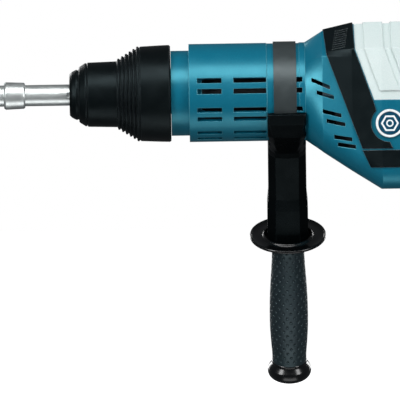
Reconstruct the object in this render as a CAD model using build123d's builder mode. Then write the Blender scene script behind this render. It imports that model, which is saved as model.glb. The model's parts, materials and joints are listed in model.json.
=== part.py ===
"""Electric breaker and rotary hammer with a holder for 18 mm grooved shanks.

The spindle axis is the X axis. -X is the chisel's end, +X the rear handle's, +Z is up, and the
operator's left hand is on the -Y side. The origin is on the spindle axis at the front shoulder of
the barrel. Lengths are in millimetres.
"""

import math
import os

from build123d import *

os.makedirs("parts", exist_ok=True)

# ---------------------------------------------------------------- driving dimensions
RUN = 0.05  # radial clearance of a shaft that turns or slides in a bore
GAP = 0.4  # clearance between pieces that only pass each other

SHANK_R = 9.0  # the 18 mm standard shank
CHISEL_BACK, CHISEL_TIP = -12.0, -292.0
BIT_PLAY = 12.0  # how far the chisel can slide forward in the holder
HOLDER_R = 17.5
CAP_FRONT, CAP_BACK = -101.6, -94.8
ROLLER_FRONT, ROLLER_LENGTH, ROLLER_R, ROLLER_AT = -60.0, 14.0, 4.0, 11.5

SLEEVE_FRONT, SLEEVE_BACK = -86.6, -15.6
SLEEVE_STEPS, STEP_LENGTH, STEP_RISE = 6, 3.25, 2.0

BARREL_R, BARREL_BORE, BARREL_BACK = 41.65, 37.5, 98.6
NECK_FRONT, NECK_R = -15.3, 36.1
SEAT_FRONT, SEAT_BACK, SEAT_R = 66.0, 93.6, 41.15  # the groove that the side handle's band runs in
SLOT_HEIGHT = 4.3
SLOT_ROWS = (13.7, 0.9, -21.6, -33.4, -55.5, -69.5)  # degrees above the horizontal, on both sides
SLOT_COLUMNS = ((6.8, 27.6), (37.6, 65.4), (73.0, 96.0))
FLARE_SLOT_FRONT, FLARE_SLOT_HEIGHT = 103.7, 3.3
# The slots in the flare: where each is open from and to, and its height at its front and rear ends.
FLARE_SLOTS = ((103.7, 119.3, 9.3, 2.2), (108.0, 122.5, -0.1, -6.1), (113.0, 128.6, -15.0, -21.7),
               (116.0, 131.7, -22.8, -29.3), (122.2, 137.4, -36.1, -42.0), (125.3, 140.4, -42.3, -48.3))

TUBE_R, TUBE_BORE = 27.0, 22.1  # the turning hammer tube
TUBE_FRONT, TUBE_BACK, BUSH_BACK = -6.0, 156.0, 28.0
RING_FACE, RING_BACK = 154.75, 146.0  # pitch plane and back of the tube's ring gear

WALL = 4.0
HOUSING_BACK, MOTOR_BACK, COVER_BACK = 262.0, 372.0, 386.0

CRANK_X, THROW, ROD_LENGTH = 200.0, 17.0, 78.0
WRIST_X = CRANK_X - THROW - ROD_LENGTH
LAY_X = RING_FACE + 8.5
MOTOR_Z = -8.0
CROWN_Z = MOTOR_Z - 5.6

ROD_Z = (30.0, -60.0)  # heights of the two damper rods
HANDLE_FRONT, HANDLE_HALF = 398.0, 17.0
GLAND_Z = -82.0

SIDE_X, SIDE_LEAN = 82.5, 28.0  # place of the side handle and its lean towards the +Y side
DISC_AT, GRIP_END = 137.5, 277.0  # distances of the guard disc and the grip's end from the X axis
# The yoke's ten-sided sections: distance, half width, side's half depth, corner's place, middle's half depth.
STEM = (
    (-1.5, 16.2, 45.2, 15.8, 46.0, 46.0),
    (8.0, 16.2, 44.0, 14.4, 46.0, 46.0),
    (23.5, 16.2, 37.0, 11.7, 40.0, 40.0),
    (38.5, 16.2, 22.5, 10.0, 29.0, 29.4),
    (49.0, 16.2, 13.0, 10.0, 19.6, 20.8),
    (55.0, 16.2, 9.5, 10.0, 16.9, 18.6),
    (96.0, 16.3, 8.3, 9.8, 15.2, 17.2),
    (107.0, 17.3, 8.6, 10.2, 15.6, 17.5),
    (DISC_AT, 17.4, 8.7, 10.3, 15.8, 17.6),
)

# The housing's cross sections at their X: half width, top, the top flat's half width, crease, bottom, corner.
SECTIONS = {
    113.0: (46.5, 50.6, 19.0, 29.0, -51.6, 22.0),
    138.0: (52.0, 56.2, 21.0, 34.0, -68.2, 21.0),
    163.0: (56.0, 56.4, 23.0, 34.5, -84.0, 20.0),
    HOUSING_BACK: (56.0, 56.4, 23.0, 34.5, -84.0, 20.0),
    300.0: (56.0, 56.4, 23.0, 34.5, -84.0, 20.0),
    MOTOR_BACK: (52.0, 50.0, 21.0, 30.0, -80.0, 20.0),
    COVER_BACK: (46.0, 44.0, 19.0, 26.0, -74.0, 18.0),
}
GEAR_SECTIONS = (BARREL_BACK, 113.0, 138.0, 163.0, HOUSING_BACK)
MOTOR_SECTIONS = (HOUSING_BACK, 300.0, MOTOR_BACK)
COVER_SECTIONS = (MOTOR_BACK, COVER_BACK)
RIM_ANGLES = (69.0, 31.0, -31.0, -66.0)  # where the facets' edges start on the barrel's round rim


# ---------------------------------------------------------------- planes and shared shapes
def upright(x, z):
    """A plane facing up, at a point of the XZ plane."""
    return Plane(origin=(x, 0, z), x_dir=(1, 0, 0), z_dir=(0, 0, 1))


def across(x, z, y=0.0):
    """A plane facing +Y."""
    return Plane(origin=(x, y, z), x_dir=(1, 0, 0), z_dir=(0, 1, 0))


def along(x, y=0.0, z=0.0):
    """A plane facing +X, with its own x along Y and its y up."""
    return Plane(origin=(x, y, z), x_dir=(0, 1, 0), z_dir=(1, 0, 0))


LEAN = math.radians(SIDE_LEAN)
SIDE = Plane(origin=(SIDE_X, 0, 0), x_dir=(1, 0, 0), z_dir=(0, math.sin(LEAN), -math.cos(LEAN)))
MOTOR_AXIS = Axis((0, 0, MOTOR_Z), (1, 0, 0))


def outline(points, plane=Plane.XZ):
    """A flat face through the points, drawn on the plane."""
    with BuildSketch(plane) as drawn:
        with BuildLine():
            Polyline(*points, close=True)
        make_face()
    return drawn.sketch


def slab(points, half=90.0):
    """A prism right through the tool, whose side view is the outline."""
    with BuildPart() as prism:
        extrude(outline(points), amount=half, both=True)
    return prism.part


def between(x0, x1, z0=-120.0, z1=90.0):
    """A block right through the tool from x0 to x1 and from z0 to z1."""
    return slab([(x0, z0), (x1, z0), (x1, z1), (x0, z1)])


def rod(plane, radius, length):
    """A round bar that stands on the plane."""
    with BuildPart() as bar:
        with BuildSketch(plane):
            Circle(radius)
        extrude(amount=length)
    return bar.part


def tube(plane, inner, outer, length):
    """A round tube that stands on the plane."""
    with BuildPart() as pipe:
        with BuildSketch(plane):
            Circle(outer)
            Circle(inner, mode=Mode.SUBTRACT)
        extrude(amount=length)
    return pipe.part


def turned(points, plane=Plane.XZ, lift=0.0):
    """A shape turned about the plane's own x, from (distance, radius) points."""
    axis = Axis(plane.origin, plane.x_dir)
    with BuildPart() as shape:
        revolve(outline([(x, r + lift) for x, r in points], plane), axis=axis)
    return shape.part


def block(x, y, z):
    """A box between two limits along each of X, Y and Z."""
    with BuildPart() as solid:
        with BuildSketch(Plane.XY.offset(z[0])):
            with Locations(((x[0] + x[1]) / 2, (y[0] + y[1]) / 2)):
                Rectangle(x[1] - x[0], y[1] - y[0])
        extrude(amount=z[1] - z[0])
    return solid.part


def coil(plane, radius, wire, length, turns):
    """A compression spring that stands on the plane."""
    with BuildPart() as spring:
        with BuildLine():
            path = Helix(length / turns, length, radius, center=plane.origin, direction=plane.z_dir)
        with BuildSketch(Plane(origin=path @ 0, z_dir=path % 0)):
            Circle(wire)
        sweep(path=path)
    return spring.part


def section(x, grow):
    """The housing's cross section at x, moved outwards: flats, facets, sides and round corners."""
    with BuildSketch(along(x)) as cut:
        with BuildLine():
            if x == BARREL_BACK:
                radius = BARREL_R + grow
                turns = list(RIM_ANGLES) + [180 - a for a in reversed(RIM_ANGLES)]
                rim = [(radius * math.cos(a), radius * math.sin(a)) for a in map(math.radians, turns)]
                for i, turn in enumerate((50.0, 0.0, -48.5, -90.0, -131.5, 180.0, 130.0, 90.0)):
                    over = (radius * math.cos(math.radians(turn)), radius * math.sin(math.radians(turn)))
                    ThreePointArc(rim[i], over, rim[(i + 1) % 8])
            else:
                half, top, flat, crease, bottom, corner = SECTIONS[x]
                lean = math.atan2(top - crease, half - flat)
                shoulder = (flat + grow * math.tan(lean / 2), top + grow)
                edge = (half + grow, crease + grow * math.tan((math.pi / 2 - lean) / 2))
                side, floor = (half + grow, bottom + corner), (half - corner, bottom - grow)
                reach = (corner + grow) * math.sqrt(0.5)
                bulge = (half - corner + reach, bottom + corner - reach)
                for s in (1, -1):
                    Line((s * shoulder[0], shoulder[1]), (s * edge[0], edge[1]))
                    Line((s * edge[0], edge[1]), (s * side[0], side[1]))
                    ThreePointArc((s * side[0], side[1]), (s * bulge[0], bulge[1]), (s * floor[0], floor[1]))
                Line((-shoulder[0], shoulder[1]), shoulder)
                Line((-floor[0], floor[1]), floor)
        make_face()
    return cut.sketch


def hull(stations, grow=0.0):
    """The housing's outer form through the stations, moved outwards by grow."""
    with BuildPart() as form:
        loft(sections=[section(x, grow) for x in stations], ruled=True)
    return form.part


def spur(teeth, module, plane, width, turn, backlash=0.16):
    """An involute gear that stands on the plane, with a tooth turn degrees from the plane's x."""
    pitch, pressure = module * teeth / 2, math.radians(20)
    base, tip, root = pitch * math.cos(pressure), pitch + module, pitch - 1.2 * module
    half_tooth = math.pi / (2 * teeth) - backlash / (2 * pitch)
    start = max(base, root)
    flank = []
    for i in range(4):
        r = start + (tip - start) * i / 3
        slope = math.acos(base / r)
        flank.append((r, half_tooth + math.tan(pressure) - pressure - math.tan(slope) + slope))
    flank.insert(0, (root, flank[0][1]))
    points = []
    for k in range(teeth):
        centre = math.radians(turn) + 2 * math.pi * k / teeth
        for r, a in [(r, centre - a) for r, a in flank] + [(r, centre + a) for r, a in reversed(flank)]:
            points.append((r * math.cos(a), r * math.sin(a)))
    with BuildPart() as gear:
        extrude(outline(points, plane), amount=width)
    return gear.part


def pinion(teeth, pitch_r, plane, width, turn, rise, depth, thickness):
    """A small pinion for a crown gear, with straight-sided teeth."""
    points = []
    for k in range(teeth):
        centre = math.radians(turn) + 2 * math.pi * k / teeth
        for r, half in ((-depth, -0.62), (rise, -0.3), (rise, 0.3), (-depth, 0.62)):
            a = centre + math.atan2(half * thickness, pitch_r + r)
            points.append(((pitch_r + r) * math.cos(a), (pitch_r + r) * math.sin(a)))
    with BuildPart() as gear:
        extrude(outline(points, plane), amount=width)
    return gear.part


def crown(teeth, plane, inner, outer, rise, depth, thickness, back, bore):
    """A crown gear whose pitch plane is the plane, with its teeth along z and a gap on the x."""
    first = Plane(origin=plane.origin + plane.x_dir * inner, x_dir=plane.y_dir, z_dir=plane.x_dir)
    up = -1 if first.y_dir.dot(plane.z_dir) < 0 else 1
    foot, crest = 0.67 * thickness, 0.3 * thickness
    low = -up * (depth + 0.2)
    shape = [(-foot, low), (foot, low), (crest, up * rise), (-crest, up * rise)]
    with BuildPart() as tooth:
        extrude(outline(shape, first), amount=outer - inner)
    middle = Axis(plane.origin, plane.z_dir)
    with BuildPart() as gear:
        add(tube(plane.offset(-back), bore, outer + 0.4, back - depth))
        add([tooth.part.rotate(middle, 360 * (k + 0.5) / teeth) for k in range(teeth)])
    return gear.part


# ---------------------------------------------------------------- the turning spindle
with BuildPart() as tool_holder:
    add(turned([(-97, SHANK_R + RUN), (TUBE_FRONT, SHANK_R + RUN), (TUBE_FRONT, 26.7), (-14, 26.7),
                (-14, HOLDER_R), (-97, HOLDER_R)]))
    for side in (1, -1):
        pocket = (ROLLER_FRONT - RUN, ROLLER_FRONT + ROLLER_LENGTH + RUN)
        heights = sorted((side * 5, side * ROLLER_AT))
        add(block(pocket, (-ROLLER_R, ROLLER_R), heights), mode=Mode.SUBTRACT)
        add(rod(along(pocket[0], 0, side * ROLLER_AT), ROLLER_R, pocket[1] - pocket[0]), mode=Mode.SUBTRACT)
    for angle in (0, 60, 180):
        add(block((-90, -20), (SHANK_R - 1.3, SHANK_R + 1), (-1.5, 1.5)).rotate(Axis.X, angle))
tool_holder.part.label = "tool_holder"
export_step(tool_holder.part, "parts/tool_holder.step")

with BuildPart() as locking_rollers:
    for side in (1, -1):
        add(rod(along(ROLLER_FRONT, 0, side * ROLLER_AT), ROLLER_R, ROLLER_LENGTH))
locking_rollers.part.label = "locking_rollers"
export_step(locking_rollers.part, "parts/locking_rollers.step")

with BuildPart() as hammer_tube:
    add(turned([(TUBE_FRONT, 9.5), (-3, 9.5), (-3, 13.05), (BUSH_BACK, 13.05), (BUSH_BACK, TUBE_BORE),
                (TUBE_BACK, TUBE_BORE), (TUBE_BACK, TUBE_R), (TUBE_FRONT, TUBE_R)]))
    for angle in range(0, 360, 60):
        vent = rod(upright(62, 0), 2.2, 40)
        add(vent.rotate(Axis.X, angle), mode=Mode.SUBTRACT)
hammer_tube.part.label = "hammer_tube"
export_step(hammer_tube.part, "parts/hammer_tube.step")

with BuildPart() as spindle_gear:
    ring_plane = Plane(origin=(RING_FACE, 0, 0), x_dir=(0, 0, -1), z_dir=(1, 0, 0))
    add(crown(48, ring_plane, 30.2, 37.8, 0.9, 1.4, 1.8, RING_FACE - RING_BACK, TUBE_R))
spindle_gear.part.label = "spindle_gear"
export_step(spindle_gear.part, "parts/spindle_gear.step")

with BuildPart() as dust_cap:
    add(turned([(CAP_FRONT, 9.4), (-97, 9.4), (-97, HOLDER_R), (CAP_BACK, HOLDER_R), (CAP_BACK, 21.3),
                (-96.2, 21.2), (-99.4, 19.6), (-101.2, 17.9), (CAP_FRONT, 17.3)]))
dust_cap.part.label = "dust_cap"
export_step(dust_cap.part, "parts/dust_cap.step")

with BuildPart() as chuck_ring:
    add(turned([(-93.6, HOLDER_R), (-87, HOLDER_R), (-87, 26.8), (-88.2, 26.8), (-92.6, 24), (-93.6, 23)]))
chuck_ring.part.label = "chuck_ring"
export_step(chuck_ring.part, "parts/chuck_ring.step")

# ---------------------------------------------------------------- the locking sleeve
with BuildPart() as locking_sleeve:
    profile = [(SLEEVE_FRONT, 26.6), (SLEEVE_FRONT + 0.8, 27.3), (-61.2, 28.0)]
    for i in range(SLEEVE_STEPS):
        x, r = -61.2 + i * STEP_LENGTH, 28.0 + (i + 1) * STEP_RISE
        profile += [(x + 0.7, r + 0.2), (x + 2.1, r + 0.3), (x + 2.6, r - 0.5), (x + STEP_LENGTH, r - 0.5)]
    profile += [(-41.2, 40.2), (-24, 41.0), (SLEEVE_BACK - 1.2, 41.2), (SLEEVE_BACK, 40.2),
                (SLEEVE_BACK, 37.0), (-38, 37.0), (-60, 22.5), (SLEEVE_FRONT, 22.5)]
    add(turned(profile))
locking_sleeve.part.label = "locking_sleeve"
export_step(locking_sleeve.part, "parts/locking_sleeve.step")

with BuildPart() as release_ring:
    add(tube(along(-66), HOLDER_R + RUN, 22.5, 24))
release_ring.part.label = "release_ring"
export_step(release_ring.part, "parts/release_ring.step")

with BuildPart() as sleeve_spring:
    add(coil(along(-40.4), 20.2, 1.2, 24.6, 5))
sleeve_spring.part.label = "sleeve_spring"
export_step(sleeve_spring.part, "parts/sleeve_spring.step")

# ---------------------------------------------------------------- the chisel
with BuildPart() as chisel:
    add(turned([(CHISEL_TIP, 0), (CHISEL_TIP, 1.2), (-262, SHANK_R), (-157.3, SHANK_R), (-157.3, 10.6),
                (-155.8, 11.7), (-140.6, 11.1), (-139.4, 10.2), (-139.4, SHANK_R),
                (CHISEL_BACK - 1.5, SHANK_R),
                (CHISEL_BACK, SHANK_R - 1.5), (CHISEL_BACK, 0)]))
    for side in (1, -1):
        groove = ROLLER_LENGTH + BIT_PLAY + 2 * GAP
        add(rod(along(ROLLER_FRONT - GAP, 0, side * ROLLER_AT), ROLLER_R + GAP, groove), mode=Mode.SUBTRACT)
    for angle in (0, 60, 180):
        keyway = block((-104, CHISEL_BACK + 1), (SHANK_R - 1.8, SHANK_R + 2), (-2, 2))
        add(keyway.rotate(Axis.X, angle), mode=Mode.SUBTRACT)
chisel.part.label = "chisel"
export_step(chisel.part, "parts/chisel.step")

# ---------------------------------------------------------------- the barrel
with BuildPart() as front_housing:
    add(turned([(NECK_FRONT, 31), (8, 31), (14, BARREL_BORE), (BARREL_BACK, BARREL_BORE),
                (BARREL_BACK, BARREL_R), (SEAT_BACK, BARREL_R), (SEAT_BACK, SEAT_R), (SEAT_FRONT, SEAT_R),
                (SEAT_FRONT, BARREL_R),
                (0, BARREL_R), (0, NECK_R), (NECK_FRONT, NECK_R)]))
    for x0, x1 in SLOT_COLUMNS:
        for angle in SLOT_ROWS:
            for face in (180 - angle, angle):
                rise = math.radians(face)
                outward = Vector(0, math.cos(rise), math.sin(rise))
                middle = Vector((x0 + x1) / 2, 0, 0)
                wall = Plane(origin=middle + outward * 34, x_dir=(1, 0, 0), z_dir=outward)
                with BuildSketch(wall):
                    Rectangle(x1 - x0, SLOT_HEIGHT)
                extrude(amount=12, mode=Mode.SUBTRACT)
front_housing.part.label = "front_housing"
export_step(front_housing.part, "parts/front_housing.step")

with BuildPart() as front_bearing:
    add(turned([(-12, TUBE_R + RUN), (8, TUBE_R + RUN), (8, 31), (-12, 31)]))
front_bearing.part.label = "front_bearing"
export_step(front_bearing.part, "parts/front_bearing.step")

with BuildPart() as front_seal:
    add(turned([(NECK_FRONT, 27.1), (-12, 27.1), (-12, 31), (NECK_FRONT, 31)]))
front_seal.part.label = "front_seal"
export_step(front_seal.part, "parts/front_seal.step")

# ---------------------------------------------------------------- the gear housing and its trim
COVER_EDGE = [(141, 34.5), (156.4, -8.7), (HOUSING_BACK, -8.7), (HOUSING_BACK, 70), (140, 70)]
BAND_EDGE = [(111, 75), (113.3, 60), (116.6, 30.6), (145.9, -49.9), (172, -49.9), (170.6, -47.7),
             (158.2, -18.3), (155.4, -8.7), (140.5, 34.3), (139.3, 60), (139, 75)]
STRIP_EDGE = [(145.9, -51.2), (152.7, -66), (258, -66), (258, -51.2)]
PAD_EDGE = [(147.9, 75), (148.8, 34.5), (161.5, -1), (177.7, -1), (165, 34.5), (164.1, 75)]
PAD_COUNT, PAD_STEP = 4, 23.0
BADGE_X, BADGE_Z, BADGE_R = 169.3, -28.7, 12.0
SELECTOR_X = 248.5

outer, inner, cover_seat = (hull(GEAR_SECTIONS, grow) for grow in (0.0, -WALL, -2.0))
core = hull(GEAR_SECTIONS, 1.0 - WALL)  # what stands inside the walls, and reaches a little into them
spindle_bulkhead, motor_bulkhead = core & between(113, 125), core & between(242, 254)
bearing_shelf = core & between(148, 236, -45, -39)
bosses = [core & rod(upright(CRANK_X, -90), 18, 32), core & rod(upright(LAY_X, -90), 16, 30)]
BEARING_SEATS = ((CRANK_X, -66, 13, 9), (CRANK_X, -46, 16, 12), (LAY_X, -68, 11, 9), (LAY_X, -46, 13, 9))
cover_recess = slab(COVER_EDGE) - cover_seat


def cover_screw(z, side, head):
    """A bolt through the cover's rear edge into the housing's wall."""
    face = Plane(origin=(256, side * 57.6, z), x_dir=(1, 0, 0), z_dir=(0, -side, 0))
    return rod(face, head, 2.2) + rod(face, 2.4, 5.2)


with BuildPart() as gear_housing:
    add(outer)
    add(inner, mode=Mode.SUBTRACT)
    add(cover_recess, mode=Mode.SUBTRACT)
    add(spindle_bulkhead)
    add(rod(along(110), 36, 20), mode=Mode.SUBTRACT)
    add(bearing_shelf)
    add(motor_bulkhead)
    add(rod(along(240, 0, MOTOR_Z), 14, 20), mode=Mode.SUBTRACT)
    for y in (-34, 34):
        for z in (22, -52):
            add(rod(along(240, y, z), 9, 20), mode=Mode.SUBTRACT)  # air passages
    add(bosses)
    add(rod(upright(CRANK_X, -40), 20, 5))
    for x, z, r, length in BEARING_SEATS:
        add(rod(upright(x, z), r, length), mode=Mode.SUBTRACT)
    add(rod(upright(SELECTOR_X, 43), 5.6, 20), mode=Mode.SUBTRACT)
    for z in (2, 28):
        for side in (1, -1):
            add(cover_screw(z, side, 4), mode=Mode.SUBTRACT)
    for open_from, open_to, front_z, rear_z in FLARE_SLOTS:
        fall = (rear_z - front_z) / (open_to - FLARE_SLOT_FRONT)
        corners = [(x, front_z + fall * (x - FLARE_SLOT_FRONT)) for x in (open_from, open_to)]
        opening = [(x, z - FLARE_SLOT_HEIGHT / 2) for x, z in corners]
        opening += [(x, z + FLARE_SLOT_HEIGHT / 2) for x, z in reversed(corners)]
        for start in (-64, 24):  # from 24 to 64 out from the middle, on each side
            with BuildSketch(Plane.XZ.offset(start)):
                with BuildLine():
                    Polyline(*opening, close=True)
                make_face()
            extrude(amount=40, mode=Mode.SUBTRACT)
gear_housing.part.label = "gear_housing"
export_step(gear_housing.part, "parts/gear_housing.step")

with BuildPart() as rear_spindle_bearing:
    add(turned([(113, TUBE_R + RUN), (125, TUBE_R + RUN), (125, 36), (113, 36)]))
rear_spindle_bearing.part.label = "rear_spindle_bearing"
export_step(rear_spindle_bearing.part, "parts/rear_spindle_bearing.step")

skin = hull(GEAR_SECTIONS, 1.3) - cover_seat
cover_panel = (outer - cover_seat) & slab(COVER_EDGE)
pads = [skin & slab([(x + i * PAD_STEP, z) for x, z in PAD_EDGE]) for i in range(PAD_COUNT)]

with BuildPart() as crankcase_cover:
    add(cover_panel)
    add(pads)
    add(rod(upright(SELECTOR_X, 43), 5 + RUN, 30), mode=Mode.SUBTRACT)
    for z in (2, 28):
        for side in (1, -1):
            add(cover_screw(z, side, 4), mode=Mode.SUBTRACT)
crankcase_cover.part.label = "crankcase_cover"
export_step(crankcase_cover.part, "parts/crankcase_cover.step")

with BuildPart() as cover_screws:
    for z in (2, 28):
        for side in (1, -1):
            add(cover_screw(z, side, 4))
            face = Plane(origin=(256, side * 57.6, z), x_dir=(1, 0, 0), z_dir=(0, -side, 0))
            with BuildSketch(face):
                RegularPolygon(2, 6)
            extrude(amount=1.6, mode=Mode.SUBTRACT)
cover_screws.part.label = "cover_screws"
export_step(cover_screws.part, "parts/cover_screws.step")

with BuildPart() as bumper_band:
    add(hull(GEAR_SECTIONS, 1.3))
    add(outer, mode=Mode.SUBTRACT)
    add(slab(BAND_EDGE), mode=Mode.INTERSECT)
    add(rod(across(BADGE_X, BADGE_Z, -90), BADGE_R + 3.7, 180), mode=Mode.SUBTRACT)
bumper_band.part.label = "bumper_band"
export_step(bumper_band.part, "parts/bumper_band.step")

with BuildPart() as side_strips:
    add(hull(GEAR_SECTIONS, 1.0))
    add(outer, mode=Mode.SUBTRACT)
    add(slab(STRIP_EDGE), mode=Mode.INTERSECT)
side_strips.part.label = "side_strips"
export_step(side_strips.part, "parts/side_strips.step")

with BuildPart() as badge:
    for side in (1, -1):
        face = Plane(origin=(BADGE_X, side * 56, BADGE_Z), x_dir=(1, 0, 0), z_dir=(0, side, 0))
        add(rod(face, BADGE_R, 1.8))
        add(tube(face.offset(1.2), BADGE_R - 3, BADGE_R - 1.5, 2), mode=Mode.SUBTRACT)
badge.part.label = "badge"
export_step(badge.part, "parts/badge.step")

# ---------------------------------------------------------------- the motor housing and the motor
SCREW_SPOTS = [(y, z) for y in (-33, 33) for z in (24, -57)]
BRUSH_X = 354.0
motor_core = hull(MOTOR_SECTIONS, 1.0 - WALL)
stator_rings = [motor_core & between(x, x + 6) for x in (284, 326)]
rear_bulkhead = motor_core & between(363, MOTOR_BACK)
screw_bosses = [motor_core & rod(along(350, y, z), 6.5, 22) for y, z in SCREW_SPOTS]

with BuildPart() as motor_housing:
    add(hull(MOTOR_SECTIONS))
    add(hull(MOTOR_SECTIONS, -WALL), mode=Mode.SUBTRACT)
    add(stator_rings)
    add(rod(along(280, 0, MOTOR_Z), 46, 60), mode=Mode.SUBTRACT)
    add(rear_bulkhead)
    add(screw_bosses)
    for y, z in SCREW_SPOTS:
        add(rod(along(351, y, z), 2.5, 24), mode=Mode.SUBTRACT)
    add(rod(along(360, 0, MOTOR_Z), 11, 20), mode=Mode.SUBTRACT)
    for z in ROD_Z:
        add(rod(along(360, 0, z), 7.5, 20), mode=Mode.SUBTRACT)
    for angle in range(30, 360, 60):
        slot = rod(along(360, 24, MOTOR_Z), 5.5, 20)
        add(slot.rotate(MOTOR_AXIS, angle - 30), mode=Mode.SUBTRACT)
    add(rod(across(BRUSH_X, MOTOR_Z, -70), 8.5, 140), mode=Mode.SUBTRACT)
motor_housing.part.label = "motor_housing"
export_step(motor_housing.part, "parts/motor_housing.step")

cover_hollow = hull(COVER_SECTIONS, -WALL) & between(360, 382)

with BuildPart() as end_cover:
    add(hull(COVER_SECTIONS))
    add(cover_hollow, mode=Mode.SUBTRACT)
    for z in ROD_Z:
        add(rod(along(378, 0, z), 8.5, 6))
        add(rod(along(370, 0, z), 4 + RUN, 20), mode=Mode.SUBTRACT)
    for y, z in SCREW_SPOTS:
        add(rod(along(MOTOR_BACK, y, z), 6.5, 12))
        add(rod(along(370, y, z), 2.5, 20), mode=Mode.SUBTRACT)
        add(rod(along(COVER_BACK - 3.5, y, z), 4.5, 10), mode=Mode.SUBTRACT)
    for z in range(-40, 16, 7):
        for y in (-22, 0, 22):
            add(block((380, 390), (y - 8, y + 8), (z, z + 3)), mode=Mode.SUBTRACT)
end_cover.part.label = "end_cover"
export_step(end_cover.part, "parts/end_cover.step")

with BuildPart() as housing_screws:
    for y, z in SCREW_SPOTS:
        add(rod(along(351, y, z), 2.5, COVER_BACK - 3.5 - 351))
        add(rod(along(COVER_BACK - 3.5, y, z), 4.5, 3))
        with BuildSketch(along(COVER_BACK - 0.5, y, z)):
            RegularPolygon(2.2, 6)
        extrude(amount=-2, mode=Mode.SUBTRACT)
housing_screws.part.label = "housing_screws"
export_step(housing_screws.part, "parts/housing_screws.step")

pole_shoes = tube(along(278, 0, MOTOR_Z), 27.6, 30, 60) - between(270, 350, MOTOR_Z - 20, MOTOR_Z + 20)
coil_hollow = [block((277, 339), (-12.5, 12.5), (-60, 60)), between(260, 350, MOTOR_Z - 16, MOTOR_Z + 16)]

with BuildPart() as stator_core:
    add(tube(along(278, 0, MOTOR_Z), 38, 46, 60))
    for side in (1, -1):
        add(block((278, 338), (-12, 12), sorted((MOTOR_Z + side * 20, MOTOR_Z + side * 39))))
    add(pole_shoes)
    add(rod(along(270, 0, MOTOR_Z), 27.6, 80), mode=Mode.SUBTRACT)
stator_core.part.label = "stator_core"
export_step(stator_core.part, "parts/stator_core.step")

with BuildPart() as field_coils:
    add(tube(along(268, 0, MOTOR_Z), 30.5, 37.5, 80))
    add(coil_hollow, mode=Mode.SUBTRACT)
field_coils.part.label = "field_coils"
export_step(field_coils.part, "parts/field_coils.step")

with BuildPart() as brush_holders:
    for side in (1, -1):
        add(block((BRUSH_X - 6, BRUSH_X + 6), sorted((side * 16, side * 50)), (MOTOR_Z - 6, MOTOR_Z + 6)))
        add(rod(Plane(origin=(BRUSH_X, side * 46, MOTOR_Z), x_dir=(1, 0, 0), z_dir=(0, side, 0)), 8.5, 7.5))
        add(block((BRUSH_X - 4, BRUSH_X + 4), sorted((side * 10, side * 44)), (MOTOR_Z - 4, MOTOR_Z + 4)),
            mode=Mode.SUBTRACT)
        driver_slot = block((BRUSH_X - 5.5, BRUSH_X + 5.5), sorted((side * 52, side * 60)),
                            (MOTOR_Z - 0.8, MOTOR_Z + 0.8))
        add(driver_slot, mode=Mode.SUBTRACT)
brush_holders.part.label = "brush_holders"
export_step(brush_holders.part, "parts/brush_holders.step")

with BuildPart() as carbon_brushes:
    for side in (1, -1):
        add(block((BRUSH_X - 4, BRUSH_X + 4), sorted((side * 13.5, side * 34)), (MOTOR_Z - 4, MOTOR_Z + 4)))
carbon_brushes.part.label = "carbon_brushes"
export_step(carbon_brushes.part, "parts/carbon_brushes.step")

with BuildPart() as motor_bearings:
    add(tube(along(243, 0, MOTOR_Z), 5 + RUN, 14, 11))
    add(tube(along(363, 0, MOTOR_Z), 5 + RUN, 11, 8))
motor_bearings.part.label = "motor_bearings"
export_step(motor_bearings.part, "parts/motor_bearings.step")

with BuildPart() as gearbox_bearings:
    for x, z, r_in, r_out, width in ((CRANK_X, -44, 8, 16, 9), (CRANK_X, -66, 6, 13, 8),
                                     (LAY_X, -45, 6, 13, 6),
                                     (LAY_X, -68, 5, 11, 8)):
        add(tube(upright(x, z), r_in + RUN, r_out, width))
gearbox_bearings.part.label = "gearbox_bearings"
export_step(gearbox_bearings.part, "parts/gearbox_bearings.step")

# ---------------------------------------------------------------- the motor's turning parts
with BuildPart() as armature_shaft:
    add(rod(along(237.4, 0, MOTOR_Z), 5, 133))
    add(rod(along(230, 0, MOTOR_Z), 4.2, 8))
    add(pinion(9, 5.6, along(230.6, 0, MOTOR_Z), 6, -90, 1.0, 1.2, 1.6))
armature_shaft.part.label = "armature_shaft"
export_step(armature_shaft.part, "parts/armature_shaft.step")

with BuildPart() as armature_core:
    add(tube(along(278, 0, MOTOR_Z), 5, 27, 60))
    for angle in range(0, 360, 30):
        groove = block((270, 350), (-1.2, 1.2), (MOTOR_Z + 21, MOTOR_Z + 30))
        add(groove.rotate(MOTOR_AXIS, angle), mode=Mode.SUBTRACT)
    add(tube(along(271, 0, MOTOR_Z), 5, 22, 7))
    add(tube(along(338, 0, MOTOR_Z), 5, 22, 7))
armature_core.part.label = "armature_core"
export_step(armature_core.part, "parts/armature_core.step")

with BuildPart() as commutator:
    add(tube(along(347, 0, MOTOR_Z), 5, 13, 14))
    for angle in range(0, 360, 15):
        cut = block((346, 360), (-0.3, 0.3), (MOTOR_Z + 12.2, MOTOR_Z + 14))
        add(cut.rotate(MOTOR_AXIS, angle), mode=Mode.SUBTRACT)
commutator.part.label = "commutator"
export_step(commutator.part, "parts/commutator.step")

with BuildPart() as cooling_fan:
    add(tube(along(257, 0, MOTOR_Z), 5, 42, 2))
    add(tube(along(257, 0, MOTOR_Z), 5, 11, 11))
    for angle in range(0, 360, 30):
        blade = block((258, 268), (-0.8, 0.8), (MOTOR_Z + 16, MOTOR_Z + 41))
        add(blade.rotate(MOTOR_AXIS, angle))
cooling_fan.part.label = "cooling_fan"
export_step(cooling_fan.part, "parts/cooling_fan.step")

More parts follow.
